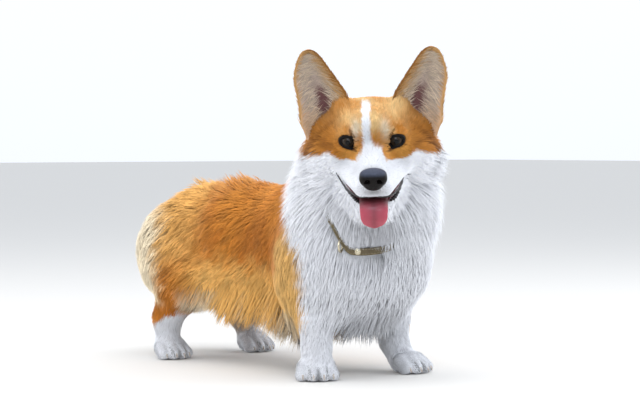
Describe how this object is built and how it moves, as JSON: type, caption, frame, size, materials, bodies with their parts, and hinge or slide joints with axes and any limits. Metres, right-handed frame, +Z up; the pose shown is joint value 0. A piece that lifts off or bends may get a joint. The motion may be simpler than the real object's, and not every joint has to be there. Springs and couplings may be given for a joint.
{
  "type": "pembroke welsh corgi",
  "caption": "Still life-size model of a standing Pembroke Welsh Corgi, head turned to its right, mouth open, with a plain collar.",
  "frame": {"origin": "on the floor, under the middle of the model's bounding box", "axes": "+Z up, +Y along the body from chest to rump, +X to the dog's left"},
  "size_m": [0.2722, 0.633, 0.4795],
  "materials": {
    "red_coat": "dense red fox coloured fur",
    "white_coat": "long soft white fur",
    "nose_leather": "moist black pebbled leather",
    "tongue": "moist pink, with a groove along the middle",
    "eye": "wet and glossy, dark brown iris",
    "collar_leather": "worn olive brown strap",
    "collar_metal": "polished, a little worn"
  },
  "bodies": {
    "root": {"loin": "red_coat", "rump": "red_coat", "tail": "red_coat", "thigh_left": "red_coat", "thigh_right": "red_coat", "ear_left": "red_coat", "ear_right": "red_coat", "head": "red_coat", "neck": "white_coat", "chest": "white_coat", "lower_jaw": "white_coat", "upper_arm_left": "white_coat", "upper_arm_right": "white_coat", "foreleg_left": "white_coat", "foreleg_right": "white_coat", "fore_foot_left": "white_coat", "fore_foot_right": "white_coat", "hind_leg_left": "white_coat", "hind_leg_right": "white_coat", "hind_foot_left": "white_coat", "hind_foot_right": "white_coat", "nose": "nose_leather", "eye_left": "eye", "eye_right": "eye", "tongue": "tongue", "collar": "collar_leather", "collar_ring": "collar_metal", "collar_stud": "collar_metal"}
  },
  "joints": []
}
